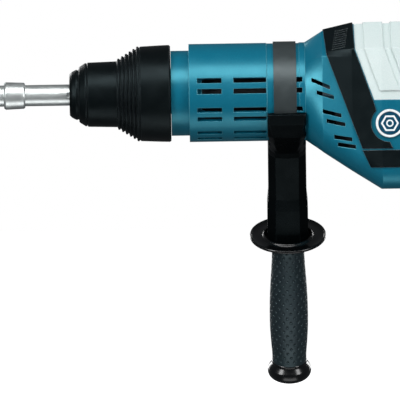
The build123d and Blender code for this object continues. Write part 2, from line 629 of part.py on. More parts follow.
# ---------------------------------------------------------------- the crank and the layshaft
with BuildPart() as crank_gear:
    add(crown(54, upright(CRANK_X, CROWN_Z), 30.6, 36.6, 0.8, 1.3, 1.8, 24 + CROWN_Z, 8))
    for angle in range(0, 360, 60):
        hole = rod(upright(CRANK_X + 20, -26), 5, 12)
        add(hole.rotate(Axis((CRANK_X, 0, 0), (0, 0, 1)), angle + 30), mode=Mode.SUBTRACT)
crank_gear.part.label = "crank_gear"
export_step(crank_gear.part, "parts/crank_gear.step")

with BuildPart() as crank_shaft:
    add(rod(upright(CRANK_X, -66), 6, 10))
    add(rod(upright(CRANK_X, -57), 8, 57 - 14.9))
    add(spur(14, 1.5, upright(CRANK_X, -54), 8, 180))
    add(rod(upright(CRANK_X, -14.9), 26, 4.5))
    add(rod(upright(CRANK_X - THROW, -11), 6, 4.6))
crank_shaft.part.label = "crank_shaft"
export_step(crank_shaft.part, "parts/crank_shaft.step")

with BuildPart() as layshaft:
    add(rod(upright(LAY_X, -68), 5, 10))
    add(rod(upright(LAY_X, -59), 6, 30))
    add(pinion(12, 8.5, upright(LAY_X, -38), 8, 180, 1.0, 1.3, 1.7))
layshaft.part.label = "layshaft"
export_step(layshaft.part, "parts/layshaft.step")

with BuildPart() as clutch_gear:
    add(spur(35, 1.5, upright(LAY_X, -54), 8, 180 / 35))
    add(rod(upright(LAY_X, -57), 12, 4))
    for angle in range(0, 360, 72):
        hole = rod(upright(LAY_X + 18, -60), 4, 20)
        add(hole.rotate(Axis((LAY_X, 0, 0), (0, 0, 1)), angle), mode=Mode.SUBTRACT)
    add(rod(upright(LAY_X, -60), 6, 20), mode=Mode.SUBTRACT)
clutch_gear.part.label = "clutch_gear"
export_step(clutch_gear.part, "parts/clutch_gear.step")

# ---------------------------------------------------------------- the hammer mechanism
with BuildPart() as piston:
    add(turned([(WRIST_X - 17, 0), (WRIST_X - 17, 22.05), (WRIST_X - 13.5, 22.05), (WRIST_X - 13.5, 20),
                (WRIST_X - 11, 20), (WRIST_X - 11, 22.05), (WRIST_X + 15, 22.05), (WRIST_X + 15, 0)]))
    add(between(WRIST_X - 10.5, WRIST_X + 20, -6.5, 6.5), mode=Mode.SUBTRACT)
    add(rod(upright(WRIST_X, -30), 5, 60), mode=Mode.SUBTRACT)
piston.part.label = "piston"
export_step(piston.part, "parts/piston.step")

with BuildPart() as piston_ring:
    add(tube(along(WRIST_X - 13.5), 20, 22.05, 2.5))
piston_ring.part.label = "piston_ring"
export_step(piston_ring.part, "parts/piston_ring.step")

with BuildPart() as wrist_pin:
    add(rod(upright(WRIST_X, -20), 5, 40))
wrist_pin.part.label = "wrist_pin"
export_step(wrist_pin.part, "parts/wrist_pin.step")

with BuildPart() as connecting_rod:
    add(rod(upright(WRIST_X, -6), 9.5, 12))
    add(rod(upright(WRIST_X + ROD_LENGTH, -6), 12, 12))
    add(block((WRIST_X, WRIST_X + ROD_LENGTH), (-6, 6), (-5, 5)))
    add(rod(upright(WRIST_X, -10), 5 + RUN, 20), mode=Mode.SUBTRACT)
    add(rod(upright(WRIST_X + ROD_LENGTH, -10), 6 + RUN, 20), mode=Mode.SUBTRACT)
connecting_rod.part.label = "connecting_rod"
export_step(connecting_rod.part, "parts/connecting_rod.step")

with BuildPart() as striker:
    add(turned([(46, 0), (46, 12), (47, 13), (52, 13), (52, 22.05), (60, 22.05), (60, 20.8), (62.5, 20.8),
                (62.5, 22.05), (84, 22.05), (84, 0)]))
striker.part.label = "striker"
export_step(striker.part, "parts/striker.step")

with BuildPart() as impact_bolt:
    add(turned([(-11.5, 0), (-11.5, 7.6), (-10.5, 8.6), (-1.5, 8.6), (1, 13), (29, 13), (30, 12), (30, 0)]))
impact_bolt.part.label = "impact_bolt"
export_step(impact_bolt.part, "parts/impact_bolt.step")

with BuildPart() as mode_selector:
    add(rod(upright(SELECTOR_X, 46), 5, 12))
    add(rod(upright(SELECTOR_X, 56.8), 13, 5))
    add(block((SELECTOR_X - 12, SELECTOR_X + 12), (-3.5, 3.5), (60, 68)))
    fillet(mode_selector.edges().filter_by(Axis.Z).filter_by(lambda e: e.center().Z > 62), 3)
mode_selector.part.label = "mode_selector"
export_step(mode_selector.part, "parts/mode_selector.step")

# ---------------------------------------------------------------- the rear handle
HANDLE_EDGE = [(398, 44), (414, 54), (440, 58), (472, 58), (492, 48), (503, 26), (504, -50), (500, -80),
               (490, -94), (474, -97), (418, -90), (398, -76), (398, -46), (412, -66), (448, -68), (459, -58),
               (463, -30), (461, 4), (456, 22), (448, 27), (412, 27), (398, 16)]
OVERMOULD_EDGE = [(496.5, -66), (520, -66), (520, 36), (496.5, 36)]
TRIGGER_PIVOT = (467.0, 24.0)
BUTTON = (486.0, 38.0)
WHEEL = (432.0, 44.0)
CAVITY = [(467, -44), (494, -44), (494, 30), (490, 46), (478, 46), (472, 34), (450, 34), (459, 20), (463, -4)]


def handle_form(half):
    """The solid handle out to half its width, with its long edges rounded."""
    with BuildPart() as form:
        extrude(outline(HANDLE_EDGE), amount=half, both=True)
        chamfer(form.faces().sort_by(Axis.Y)[0].edges() + form.faces().sort_by(Axis.Y)[-1].edges(), 5)
    return form.part


grip_form = handle_form(HANDLE_HALF)
handle_cuts = [
    slab(OVERMOULD_EDGE),
    slab(CAVITY, 11.5),
    slab([(440, -36), (482, -36), (482, 27), (474, 34), (462, 34), (440, 22)], 8.5),
    rod(across(TRIGGER_PIVOT[0], TRIGGER_PIVOT[1], -13), 3 + RUN, 26),
    rod(across(BUTTON[0], BUTTON[1], -30), 6 + RUN, 30),
    rod(across(WHEEL[0], WHEEL[1], -5.5), 15, 11),
    rod(across(WHEEL[0], WHEEL[1], -11), 3 + RUN, 22),
    rod(along(484, 0, GLAND_Z), 8.5, 30),
    block((470, 486), (-8, 8), (GLAND_Z - 7, GLAND_Z + 7)),
    block((472, 484), (-8, 8), (GLAND_Z, -40)),
] + [rod(along(397, 0, z), 4, 9) for z in ROD_Z]

with BuildPart() as handle_shell_left:
    add(grip_form)
    add(block((390, 520), (-20, 0), (-110, 70)), mode=Mode.INTERSECT)
    add(handle_cuts, mode=Mode.SUBTRACT)
handle_shell_left.part.label = "handle_shell_left"
export_step(handle_shell_left.part, "parts/handle_shell_left.step")

with BuildPart() as handle_shell_right:
    add(grip_form)
    add(block((390, 520), (0, 20), (-110, 70)), mode=Mode.INTERSECT)
    add(handle_cuts, mode=Mode.SUBTRACT)
handle_shell_right.part.label = "handle_shell_right"
export_step(handle_shell_right.part, "parts/handle_shell_right.step")

with BuildPart() as grip_overmould:
    add(grip_form)
    add(slab(OVERMOULD_EDGE), mode=Mode.INTERSECT)
grip_overmould.part.label = "grip_overmould"
export_step(grip_overmould.part, "parts/grip_overmould.step")

with BuildPart() as trigger_switch:
    add(block((480.5, 493), (-10, 10), (-26, 8)))
    add(block((478.5, 481), (-3, 3), (-16, -4)))
trigger_switch.part.label = "trigger_switch"
export_step(trigger_switch.part, "parts/trigger_switch.step")

with BuildPart() as cable_gland:
    add(tube(along(486, 0, GLAND_Z), 4.75, 8.5, 32))
    add(tube(along(504, 0, GLAND_Z), 4.75, 10, 3))
    add(tube(along(513, 0, GLAND_Z), 4.75, 9.6, 2))
cable_gland.part.label = "cable_gland"
export_step(cable_gland.part, "parts/cable_gland.step")

with BuildPart() as damper_rods:
    for z in ROD_Z:
        add(rod(along(373, 0, z), 6.5, 3))
        add(rod(along(375, 0, z), 4, 31))
damper_rods.part.label = "damper_rods"
export_step(damper_rods.part, "parts/damper_rods.step")

with BuildPart() as damper_springs:
    for z in ROD_Z:
        add(coil(along(387.2, 0, z), 6.4, 0.8, 9.6, 2.5))
damper_springs.part.label = "damper_springs"
export_step(damper_springs.part, "parts/damper_springs.step")

with BuildPart() as handle_bellows:
    for z in ROD_Z:
        folds = [(COVER_BACK, 9), (COVER_BACK, 11)]
        for i in range(4):
            folds += [(COVER_BACK + 1.5 + 3 * i, 14), (COVER_BACK + 3 + 3 * i, 11)]
        folds += [(HANDLE_FRONT, 9)]
        with BuildSketch(Plane(origin=(0, 0, z), x_dir=(1, 0, 0), z_dir=(0, -1, 0))):
            with BuildLine():
                Polyline(*folds, close=True)
            make_face()
        revolve(axis=Axis((0, 0, z), (1, 0, 0)))
handle_bellows.part.label = "handle_bellows"
export_step(handle_bellows.part, "parts/handle_bellows.step")

with BuildPart() as trigger:
    shape = [(452, -28), (450, -20), (453, 2), (457, 14), (462, 26), (467, 29), (472, 26), (474, 18),
             (471, 0), (471, -28), (466, -32), (456, -32)]
    extrude(outline(shape), amount=8, both=True)
    add(rod(across(TRIGGER_PIVOT[0], TRIGGER_PIVOT[1], -13), 3, 26))
trigger.part.label = "trigger"
export_step(trigger.part, "parts/trigger.step")

with BuildPart() as lock_button:
    add(rod(across(BUTTON[0], BUTTON[1], -21), 6, 16))
lock_button.part.label = "lock_button"
export_step(lock_button.part, "parts/lock_button.step")

with BuildPart() as speed_wheel:
    add(rod(across(WHEEL[0], WHEEL[1], -5), 14.4, 10))
    for angle in range(0, 360, 15):
        notch = block((WHEEL[0] - 0.7, WHEEL[0] + 0.7), (-6, 6), (WHEEL[1] + 13.6, WHEEL[1] + 16))
        add(notch.rotate(Axis((WHEEL[0], 0, WHEEL[1]), (0, 1, 0)), angle), mode=Mode.SUBTRACT)
    add(rod(across(WHEEL[0], WHEEL[1], -10.5), 3, 21))
speed_wheel.part.label = "speed_wheel"
export_step(speed_wheel.part, "parts/speed_wheel.step")

# ---------------------------------------------------------------- the side handle
with BuildPart() as clamp_band:
    add(tube(along(71.7), SEAT_R + RUN, 42.7, 19.3))
clamp_band.part.label = "clamp_band"
export_step(clamp_band.part, "parts/clamp_band.step")

with BuildPart() as handle_yoke:
    for distance, wide, edge_y, corner_x, corner_y, middle in STEM:
        with BuildSketch(SIDE.offset(distance)):
            with BuildLine():
                front = [(wide, edge_y), (corner_x, corner_y), (0, middle),
                         (-corner_x, corner_y), (-wide, edge_y)]
                Polyline(*front, *[(x, -y) for x, y in reversed(front)], close=True)
            make_face()
    loft(ruled=True)
    add(rod(along(60), 42.05, 50), mode=Mode.SUBTRACT)
    add(rod(along(71.7), 42.7, 19.3), mode=Mode.SUBTRACT)
    add(rod(SIDE.offset(50), 4, 100), mode=Mode.SUBTRACT)
handle_yoke.part.label = "handle_yoke"
export_step(handle_yoke.part, "parts/handle_yoke.step")

with BuildPart() as tension_bolt:
    add(rod(SIDE.offset(50), 4, 116))
tension_bolt.part.label = "tension_bolt"
export_step(tension_bolt.part, "parts/tension_bolt.step")

with BuildPart() as side_grip:
    with BuildSketch(Plane(origin=SIDE.origin, x_dir=SIDE.z_dir, z_dir=SIDE.x_dir)) as half:
        with BuildLine():
            Polyline((DISC_AT + GAP, 4 + RUN), (DISC_AT + GAP, 20), (DISC_AT - 1.2, 20), (DISC_AT - 1.2, 21),
                     (DISC_AT - 0.4, 21.8), (DISC_AT + 0.8, 22.2), (DISC_AT + 0.6, 30.8),
                     (DISC_AT - 0.4, 31.4),
                     (DISC_AT - 0.4, 32.2), (DISC_AT + 1, 32.7), (DISC_AT + 3.6, 32.7),
                     (DISC_AT + 5, 32.0), (DISC_AT + 5.4, 16.6), (DISC_AT + 12, 15.2), (DISC_AT + 14, 13.9),
                     (DISC_AT + 28, 14.3), (200, 16.2), (225, 16.4), (252, 14.8), (262, 15.6), (266, 18.4),
                     (272, 18.6), (275.5, 16.4), (GRIP_END, 12.5), (GRIP_END, 0), (168, 0), (168, 4 + RUN),
                     close=True)
        make_face()
    revolve(axis=Axis(SIDE.origin, SIDE.z_dir))
side_grip.part.label = "side_grip"
export_step(side_grip.part, "parts/side_grip.step")
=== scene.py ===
"""The looks of the electric breaker: materials, soft pieces, light and camera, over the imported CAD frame."""

import json
import math

import bpy
from mathutils import Matrix, Vector


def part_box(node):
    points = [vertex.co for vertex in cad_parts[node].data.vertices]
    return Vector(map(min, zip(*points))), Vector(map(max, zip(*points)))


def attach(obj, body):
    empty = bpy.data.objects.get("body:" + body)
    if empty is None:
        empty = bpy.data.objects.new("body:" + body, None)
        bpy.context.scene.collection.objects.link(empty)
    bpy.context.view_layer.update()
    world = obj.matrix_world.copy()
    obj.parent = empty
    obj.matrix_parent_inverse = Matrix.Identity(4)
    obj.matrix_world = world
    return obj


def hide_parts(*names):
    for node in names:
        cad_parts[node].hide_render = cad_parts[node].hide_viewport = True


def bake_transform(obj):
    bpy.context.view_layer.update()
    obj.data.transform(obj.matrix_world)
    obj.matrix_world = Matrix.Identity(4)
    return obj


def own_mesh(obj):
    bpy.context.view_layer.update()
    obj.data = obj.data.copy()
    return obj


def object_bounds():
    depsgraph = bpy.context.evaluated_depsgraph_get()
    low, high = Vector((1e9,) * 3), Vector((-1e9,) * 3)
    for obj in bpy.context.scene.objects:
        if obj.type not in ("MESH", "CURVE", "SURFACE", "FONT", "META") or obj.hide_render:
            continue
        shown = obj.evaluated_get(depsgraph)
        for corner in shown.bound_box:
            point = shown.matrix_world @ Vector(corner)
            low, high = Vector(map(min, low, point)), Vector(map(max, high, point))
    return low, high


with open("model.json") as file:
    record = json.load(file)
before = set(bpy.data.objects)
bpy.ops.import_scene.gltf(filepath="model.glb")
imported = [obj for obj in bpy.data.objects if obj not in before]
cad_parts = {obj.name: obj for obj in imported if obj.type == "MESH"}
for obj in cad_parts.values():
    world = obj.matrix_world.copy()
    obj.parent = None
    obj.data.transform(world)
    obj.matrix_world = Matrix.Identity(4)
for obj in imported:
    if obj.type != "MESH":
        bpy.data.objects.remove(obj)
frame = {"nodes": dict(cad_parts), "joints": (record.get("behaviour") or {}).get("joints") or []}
cad_low, cad_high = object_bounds()
nodes = frame["nodes"]
joints = {joint["name"]: joint for joint in frame["joints"]}

MM = 0.001


# ---------------------------------------------------------------- materials
class Shade:
    """A procedural material on one Principled shader, built up by small steps."""

    def __init__(self, name, colour, roughness, metallic=0.0, **sockets):
        self.material = bpy.data.materials.new(name)
        self.material.use_nodes = True
        self.material.diffuse_color = (*colour, 1)
        self.tree = self.material.node_tree
        self.shader = self.tree.nodes["Principled BSDF"]
        self.shader.inputs["Metallic"].default_value = metallic
        self.shader.inputs["Roughness"].default_value = roughness
        self.shader.inputs["Base Color"].default_value = (*colour, 1)
        for socket, value in sockets.items():
            self.shader.inputs[socket.replace("_", " ")].default_value = value
        self.place = self.add("ShaderNodeTexCoord").outputs["Object"]
        self.colour, self.heights, self.normal = None, [], None
        self.plain, self.roughness = colour, roughness

    def add(self, kind, links=None, **settings):
        """A new node. A setting is one of its properties or, failing that, one of its sockets."""
        made = self.tree.nodes.new(kind)
        for key, value in settings.items():
            if hasattr(made, key):
                setattr(made, key, value)
            else:
                made.inputs[key.replace("_", " ")].default_value = value
        for key, socket in (links or {}).items():
            self.tree.links.new(socket, made.inputs[key])
        return made

    def ranged(self, socket, low, high, from_low=0.3, from_high=0.7):
        """Stretches a value from one range to another, and stops at the ends."""
        span = self.add("ShaderNodeMapRange", {"Value": socket})
        ends = {"From Min": from_low, "From Max": from_high, "To Min": low, "To Max": high}
        for key, value in ends.items():
            span.inputs[key].default_value = value
        return span.outputs["Result"]

    def noise(self, scale, detail=4.0):
        made = self.add("ShaderNodeTexNoise", {"Vector": self.place}, Scale=scale, Detail=detail)
        return made.outputs["Fac"]

    def tint(self, factor, second):
        """Mixes the colour so far with a second one."""
        mix = self.add("ShaderNodeMix", data_type="RGBA")
        self.tree.links.new(factor, mix.inputs["Factor"])
        if self.colour is None:
            mix.inputs[6].default_value = (*self.plain, 1)
        else:
            self.tree.links.new(self.colour, mix.inputs[6])
        mix.inputs[7].default_value = (*second, 1)
        self.colour = mix.outputs[2]

    def mottled(self, scale, second, low=0.0, high=1.0):
        """Slow, cloudy changes of colour."""
        self.tint(self.ranged(self.noise(scale), low, high), second)
        return self

    def flaked(self, scale, second, amount):
        """Fine metallic flakes in the paint."""
        cells = self.add("ShaderNodeTexVoronoi", {"Vector": self.place}, Scale=scale)
        grey = self.add("ShaderNodeSeparateColor", {"Color": cells.outputs["Color"]}).outputs[0]
        self.tint(self.ranged(grey, 0.0, amount, 0.55, 1.0), second)
        return self

    def rough(self, spread, scale):
        """Smudges and handling marks in the gloss."""
        low, high = max(self.roughness - spread, 0.02), min(self.roughness + spread, 1.0)
        self.tree.links.new(self.ranged(self.noise(scale, 6.0), low, high), self.shader.inputs["Roughness"])
        return self

    def painted_edge_highlight(self, radius, second, strength):
        """Rounds the edges in the light and paints them lighter in patches: a painted edge highlight."""
        bevel = self.add("ShaderNodeBevel", samples=4, Radius=radius * MM)
        face = self.add("ShaderNodeNewGeometry").outputs["Normal"]
        sides = {0: bevel.outputs["Normal"], 1: face}
        turned = self.add("ShaderNodeVectorMath", sides, operation="DOT_PRODUCT")
        edge = self.ranged(turned.outputs["Value"], strength, 0.0, 0.75, 0.97)
        patchy = self.ranged(self.noise(260.0), 0.45, 1.0)
        both = self.add("ShaderNodeMath", {0: edge, 1: patchy}, operation="MULTIPLY").outputs[0]
        # The lighter edge colour is a painted highlight.
        self.tint(both, second)
        self.normal = bevel.outputs["Normal"]
        return self

    def grain(self, scale, depth, detail=3.0):
        """A fine uneven surface, depth in millimetres."""
        self.heights.append((self.noise(scale, detail), depth))
        return self

    def pebbled(self, scale, depth):
        """A moulded leather-like grain of small rounded cells."""
        cells = self.add("ShaderNodeTexVoronoi", {"Vector": self.place}, Scale=scale, feature="SMOOTH_F1")
        self.heights.append((cells.outputs["Distance"], depth))
        return self

    def lined(self, scale, depth, direction="X", wander=1.5, second=None, amount=0.4):
        """Tool marks, laminations or windings that run across one direction."""
        wave = self.add("ShaderNodeTexWave", {"Vector": self.place}, bands_direction=direction, Scale=scale,
                        Distortion=wander, Detail=2.0)
        self.heights.append((wave.outputs["Fac"], depth))
        if second:
            self.tint(self.ranged(wave.outputs["Fac"], 0.0, amount, 0.2, 0.8), second)
        return self

    def done(self):
        """Joins the bumps, the normal and the colour to the shader."""
        for height, depth in self.heights:
            links = {"Height": height}
            if self.normal is not None:
                links["Normal"] = self.normal
            bump = self.add("ShaderNodeBump", links, Distance=depth * MM)
            bump.inputs["Strength"].default_value = 1.0
            self.normal = bump.outputs["Normal"]
        if self.normal is not None:
            self.tree.links.new(self.normal, self.shader.inputs["Normal"])
        if self.colour is not None:
            self.tree.links.new(self.colour, self.shader.inputs["Base Color"])
        return self.material


# The gloss of the blacks is a little cool, and that of the teal paint is teal.
COOL, TEAL_GLOSS = (0.70, 0.94, 1.0, 1.0), (0.42, 1.0, 0.92, 1.0)
TEAL, TEAL_DEEP, TEAL_LIGHT = (0.0025, 0.150, 0.245), (0.0020, 0.125, 0.210), (0.012, 0.290, 0.410)

# Each material's edge step below paints a lighter highlight along its edges.
teal_paint = (Shade("teal_paint", TEAL, 0.34, 0.22, Specular_IOR_Level=1.0, Specular_Tint=TEAL_GLOSS)
              .mottled(14, TEAL_DEEP, 0.0, 0.45).flaked(2600, TEAL_LIGHT, 0.25)
              .painted_edge_highlight(0.9, (0.22, 0.62, 0.74), 0.9).rough(0.05, 60).grain(1500, 0.012).done())
silver_paint = (Shade("silver_paint", (0.64, 0.76, 0.75), 0.42, 0.12, Coat_Weight=0.2, Coat_Roughness=0.3)
                .mottled(16, (0.68, 0.76, 0.75), 0.0, 0.5).flaked(2400, (0.9, 0.94, 0.93), 0.3)
                .painted_edge_highlight(0.6, (0.96, 0.97, 0.97), 0.6).rough(0.06, 50).grain(1200, 0.012).done())
band_rubber = (Shade("band_rubber", (0.0018, 0.0036, 0.0044), 0.38, Specular_IOR_Level=0.20,
                     Specular_Tint=COOL)
               .mottled(24, (0.0040, 0.0070, 0.0082), 0.0, 0.6).painted_edge_highlight(0.8, (0.26, 0.30, 0.31), 0.9)
               .rough(0.08, 90).grain(2300, 0.030).done())
soft_rubber = (Shade("soft_rubber", (0.012, 0.021, 0.025), 0.40, Specular_IOR_Level=0.55, Specular_Tint=COOL)
               .mottled(40, (0.016, 0.022, 0.028), 0.0, 0.7).rough(0.07, 120).pebbled(1500, 0.03)
               .grain(3200, 0.014).done())
overmould_rubber = (Shade("overmould_rubber", (0.016, 0.017, 0.019), 0.6, Sheen_Weight=0.08)
                    .mottled(40, (0.028, 0.030, 0.033), 0.0, 0.7).rough(0.07, 120)
                    .lined(190, 0.28, "Z", 0.0).pebbled(1300, 0.05).done())
satin_black = (Shade("satin_black", (0.0005, 0.0011, 0.0014), 0.30, Specular_IOR_Level=0.08,
                     Specular_Tint=COOL)
               .mottled(30, (0.0018, 0.0030, 0.0036), 0.0, 0.6).painted_edge_highlight(0.9, (0.06, 0.085, 0.095), 0.8)
               .rough(0.06, 80).grain(2600, 0.020).done())
sleeve_black = (Shade("sleeve_black", (0.0010, 0.0020, 0.0024), 0.38, Specular_IOR_Level=0.18,
                      Specular_Tint=COOL)
                .mottled(30, (0.0035, 0.0050, 0.0056), 0.0, 0.6).painted_edge_highlight(0.8, (0.08, 0.10, 0.11), 0.6)
                .rough(0.07, 80).grain(1700, 0.045, 5.0).done())
shell_black = (Shade("shell_black", (0.009, 0.010, 0.011), 0.46)
               .mottled(26, (0.016, 0.018, 0.019), 0.0, 0.6).painted_edge_highlight(0.6, (0.14, 0.15, 0.16), 0.5)
               .rough(0.08, 70).pebbled(1100, 0.05).done())
gloss_black = (Shade("gloss_black", (0.0008, 0.0010, 0.0014), 0.24, Coat_Weight=0.25, Coat_Roughness=0.12)
               .mottled(50, (0.0022, 0.0030, 0.0036), 0.0, 0.6).painted_edge_highlight(0.5, (0.07, 0.08, 0.09), 0.6)
               .rough(0.06, 45).grain(900, 0.004).done())
badge_enamel = (Shade("badge_enamel", (0.004, 0.055, 0.110), 0.18, Coat_Weight=0.6, Coat_Roughness=0.05)
                .mottled(120, (0.006, 0.075, 0.140), 0.0, 0.6).rough(0.05, 90).grain(1400, 0.004).done())
badge_silver = (Shade("badge_silver", (0.88, 0.93, 0.94), 0.30, 0.10)
                .mottled(200, (0.80, 0.85, 0.87), 0.0, 0.5).rough(0.06, 200).grain(1800, 0.006).done())
chisel_steel = (Shade("chisel_steel", (0.93, 0.98, 0.97), 0.36, 0.90, Specular_Tint=(0.0, 0.02, 0.02, 1.0))
                .mottled(90, (0.80, 0.86, 0.85), 0.0, 0.4).lined(700, 0.004, "X", second=(0.80, 0.86, 0.85))
                .painted_edge_highlight(0.4, (0.90, 0.93, 0.92), 0.5).rough(0.06, 240)
                .grain(500, 0.003, 5.0).done())
# Near-black steel for the hammer tube and tool holder: painted shade where they show through the slots and the
# chuck's gap.
shade_black_steel = (Shade("shade_black_steel", (0.020, 0.022, 0.024), 0.55, 0.6)
                   .mottled(50, (0.035, 0.037, 0.039), 0.0, 0.6).rough(0.08, 150).grain(1600, 0.02).done())
machined_steel = (Shade("machined_steel", (0.42, 0.43, 0.44), 0.33, 1.0)
                  .mottled(60, (0.33, 0.34, 0.36), 0.0, 0.6)
                  .lined(900, 0.006, "X", second=(0.36, 0.37, 0.39), amount=0.3)
                  .painted_edge_highlight(0.35, (0.66, 0.67, 0.68), 0.5).rough(0.08, 150).done())
gear_steel = (Shade("gear_steel", (0.36, 0.36, 0.37), 0.30, 1.0)
              .mottled(45, (0.27, 0.27, 0.29), 0.0, 0.7).painted_edge_highlight(0.3, (0.62, 0.62, 0.64), 0.6)
              .rough(0.10, 110).grain(900, 0.010).done())
bearing_steel = (Shade("bearing_steel", (0.62, 0.62, 0.63), 0.12, 1.0)
                 .mottled(70, (0.52, 0.52, 0.54), 0.0, 0.5).rough(0.06, 130).grain(1500, 0.003).done())
spring_steel = (Shade("spring_steel", (0.50, 0.50, 0.52), 0.25, 1.0)
                .mottled(120, (0.36, 0.36, 0.38), 0.0, 0.7).rough(0.08, 300).grain(2000, 0.006).done())
screw_steel = (Shade("screw_steel", (0.52, 0.53, 0.54), 0.28, 1.0)
               .mottled(150, (0.38, 0.39, 0.41), 0.0, 0.6).painted_edge_highlight(0.3, (0.8, 0.8, 0.8), 0.5)
               .rough(0.08, 300).grain(1200, 0.008).done())
band_steel = (Shade("band_steel", (0.050, 0.064, 0.067), 0.42, 0.5)
              .mottled(30, (0.066, 0.082, 0.086), 0.0, 0.7).painted_edge_highlight(0.5, (0.20, 0.24, 0.25), 0.6)
              .rough(0.07, 120).grain(1500, 0.020).done())
laminations = (Shade("laminations", (0.17, 0.17, 0.18), 0.5, 0.8)
               .mottled(60, (0.12, 0.11, 0.11), 0.0, 0.8).lined(320, 0.06, "X", wander=0.0,
               second=(0.28, 0.28, 0.29)).rough(0.1, 150).done())
winding = (Shade("winding", (0.62, 0.27, 0.11), 0.3, 0.9, Coat_Weight=0.5, Coat_Roughness=0.15)
           .mottled(90, (0.45, 0.17, 0.07), 0.0, 0.7).lined(420, 0.18, "X", wander=0.6,
           second=(0.75, 0.38, 0.18)).rough(0.08, 200).done())
copper_bars = (Shade("copper_bars", (0.72, 0.37, 0.22), 0.26, 1.0)
               .mottled(120, (0.5, 0.23, 0.13), 0.0, 0.7).lined(1500, 0.006, "X").rough(0.08, 260).done())
carbon = (Shade("carbon", (0.030, 0.030, 0.032), 0.55)
          .mottled(300, (0.05, 0.05, 0.052), 0.0, 0.7).rough(0.12, 400).grain(2600, 0.02).done())
red_plastic = (Shade("red_plastic", (0.42, 0.016, 0.014), 0.34)
               .mottled(50, (0.33, 0.010, 0.010), 0.0, 0.6).painted_edge_highlight(0.5, (0.62, 0.10, 0.08), 0.5)
               .rough(0.07, 120).grain(1800, 0.015).done())

LOOKS = {
    teal_paint: "front_housing gear_housing motor_housing",
    silver_paint: "crankcase_cover",
    band_rubber: "bumper_band side_strips",
    soft_rubber: "front_seal piston_ring cable_gland",
    overmould_rubber: "grip_overmould",
    satin_black: "handle_yoke mode_selector speed_wheel",
    sleeve_black: "locking_sleeve chuck_ring dust_cap",
    shell_black: "handle_shell_left handle_shell_right end_cover trigger_switch brush_holders cooling_fan",
    badge_enamel: "badge",
    chisel_steel: "chisel",
    shade_black_steel: "hammer_tube tool_holder",
    machined_steel: "release_ring armature_shaft piston striker impact_bolt",
    gear_steel: "spindle_gear crank_gear crank_shaft layshaft clutch_gear connecting_rod",
    bearing_steel: "locking_rollers front_bearing rear_spindle_bearing motor_bearings gearbox_bearings "
                   "wrist_pin damper_rods",
    spring_steel: "sleeve_spring damper_springs",
    screw_steel: "cover_screws housing_screws tension_bolt",
    band_steel: "clamp_band",
    laminations: "stator_core armature_core",
    winding: "field_coils",
    copper_bars: "commutator",
    carbon: "carbon_brushes",
    red_plastic: "trigger lock_button",
}
for look, names in LOOKS.items():
    for name in names.split():
        nodes[name].data.materials.clear()
        nodes[name].data.materials.append(look)


# ---------------------------------------------------------------- pieces made here
def piece(name, points, faces, look, body, slot, smooth=True):
    """A mesh piece from points in millimetres, riding on a body."""
    mesh = bpy.data.meshes.new(name)
    mesh.from_pydata([Vector(p) * MM for p in points], [], faces)
    mesh.materials.append(look)
    mesh.validate()
    obj = bpy.data.objects.new(name, mesh)
    bpy.context.scene.collection.objects.link(obj)
    for face in mesh.polygons:
        face.use_smooth = smooth
    if body:
        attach(obj, body)
    return obj


def lathe(profile, place, steps, depth=None):
    """Points and faces of a closed turned shape. place turns (distance, radius, turn) into a point."""
    points, faces = [], []
    for distance, radius in profile:
        for i in range(steps):
            turn = 2 * math.pi * i / steps
            points.append(place(distance, radius - (depth(distance, turn) if depth else 0.0), turn))
    for row in range(len(profile) - 1):
        for i in range(steps):
            a, b = row * steps + i, row * steps + (i + 1) % steps
            faces.append((a, b, b + steps, a + steps))
    first, last = len(points), len(points) + 1
    points += [place(profile[0][0], 0.0, 0.0), place(profile[-1][0], 0.0, 0.0)]
    end = (len(profile) - 1) * steps
    for i in range(steps):
        j = (i + 1) % steps
        faces += [(first, j, i), (last, end + i, end + j)]
    return points, faces


def hoop(section, place, steps):
    """Points and faces of a ring turned from a closed section."""
    points = [place(x, radius, 2 * math.pi * i / steps) for x, radius in section for i in range(steps)]
    faces = []
    for row in range(len(section)):
        following = (row + 1) % len(section)
        for i in range(steps):
            j = (i + 1) % steps
            faces.append((row * steps + i, row * steps + j, following * steps + j, following * steps + i))
    return points, faces


def eased(knots, count):
    """Points along a smooth line through the knots, with the slope at each from its neighbours."""
    line = []
    for i in range(count + 1):
        x = knots[0][0] + (knots[-1][0] - knots[0][0]) * i / count
        k = max(n for n in range(len(knots) - 1) if knots[n][0] <= x + 1e-9)
        (x0, y0), (x1, y1) = knots[k], knots[k + 1]
        before, after = knots[max(k - 1, 0)], knots[min(k + 2, len(knots) - 1)]
        m0, m1 = (y1 - before[1]) / (x1 - before[0]), (after[1] - y0) / (after[0] - x0)
        t, h = (x - x0) / (x1 - x0), x1 - x0
        line.append((x, (2 * t ** 3 - 3 * t ** 2 + 1) * y0 + (t ** 3 - 2 * t ** 2 + t) * h * m0
                     + (3 * t ** 2 - 2 * t ** 3) * y1 + (t ** 3 - t ** 2) * h * m1))
    return line


# The side grip: its axis and the guard disc's place come from the grip's own joint.
grip_joint = joints["side_grip_turn"]
grip_axis = Vector(grip_joint["axis"]).normalized()
disc_at = Vector(grip_joint["pos_m"]) / MM
grip_x = Vector((1, 0, 0))
grip_y = grip_axis.cross(grip_x)


def on_grip(distance, radius, turn):
    """A point round the side grip, its distance counted from the guard disc."""
    return disc_at + grip_axis * distance + (grip_x * math.cos(turn) + grip_y * math.sin(turn)) * radius


PIT_COLUMNS, PIT_PITCH, PIT_R, PIT_DEPTH = 30, 8.8, 1.3, 1.0
PITS_FROM, PITS_TO = 12.0, 122.0
GRIP_R = 15.6  # the grip's usual radius, which the pits are spaced by


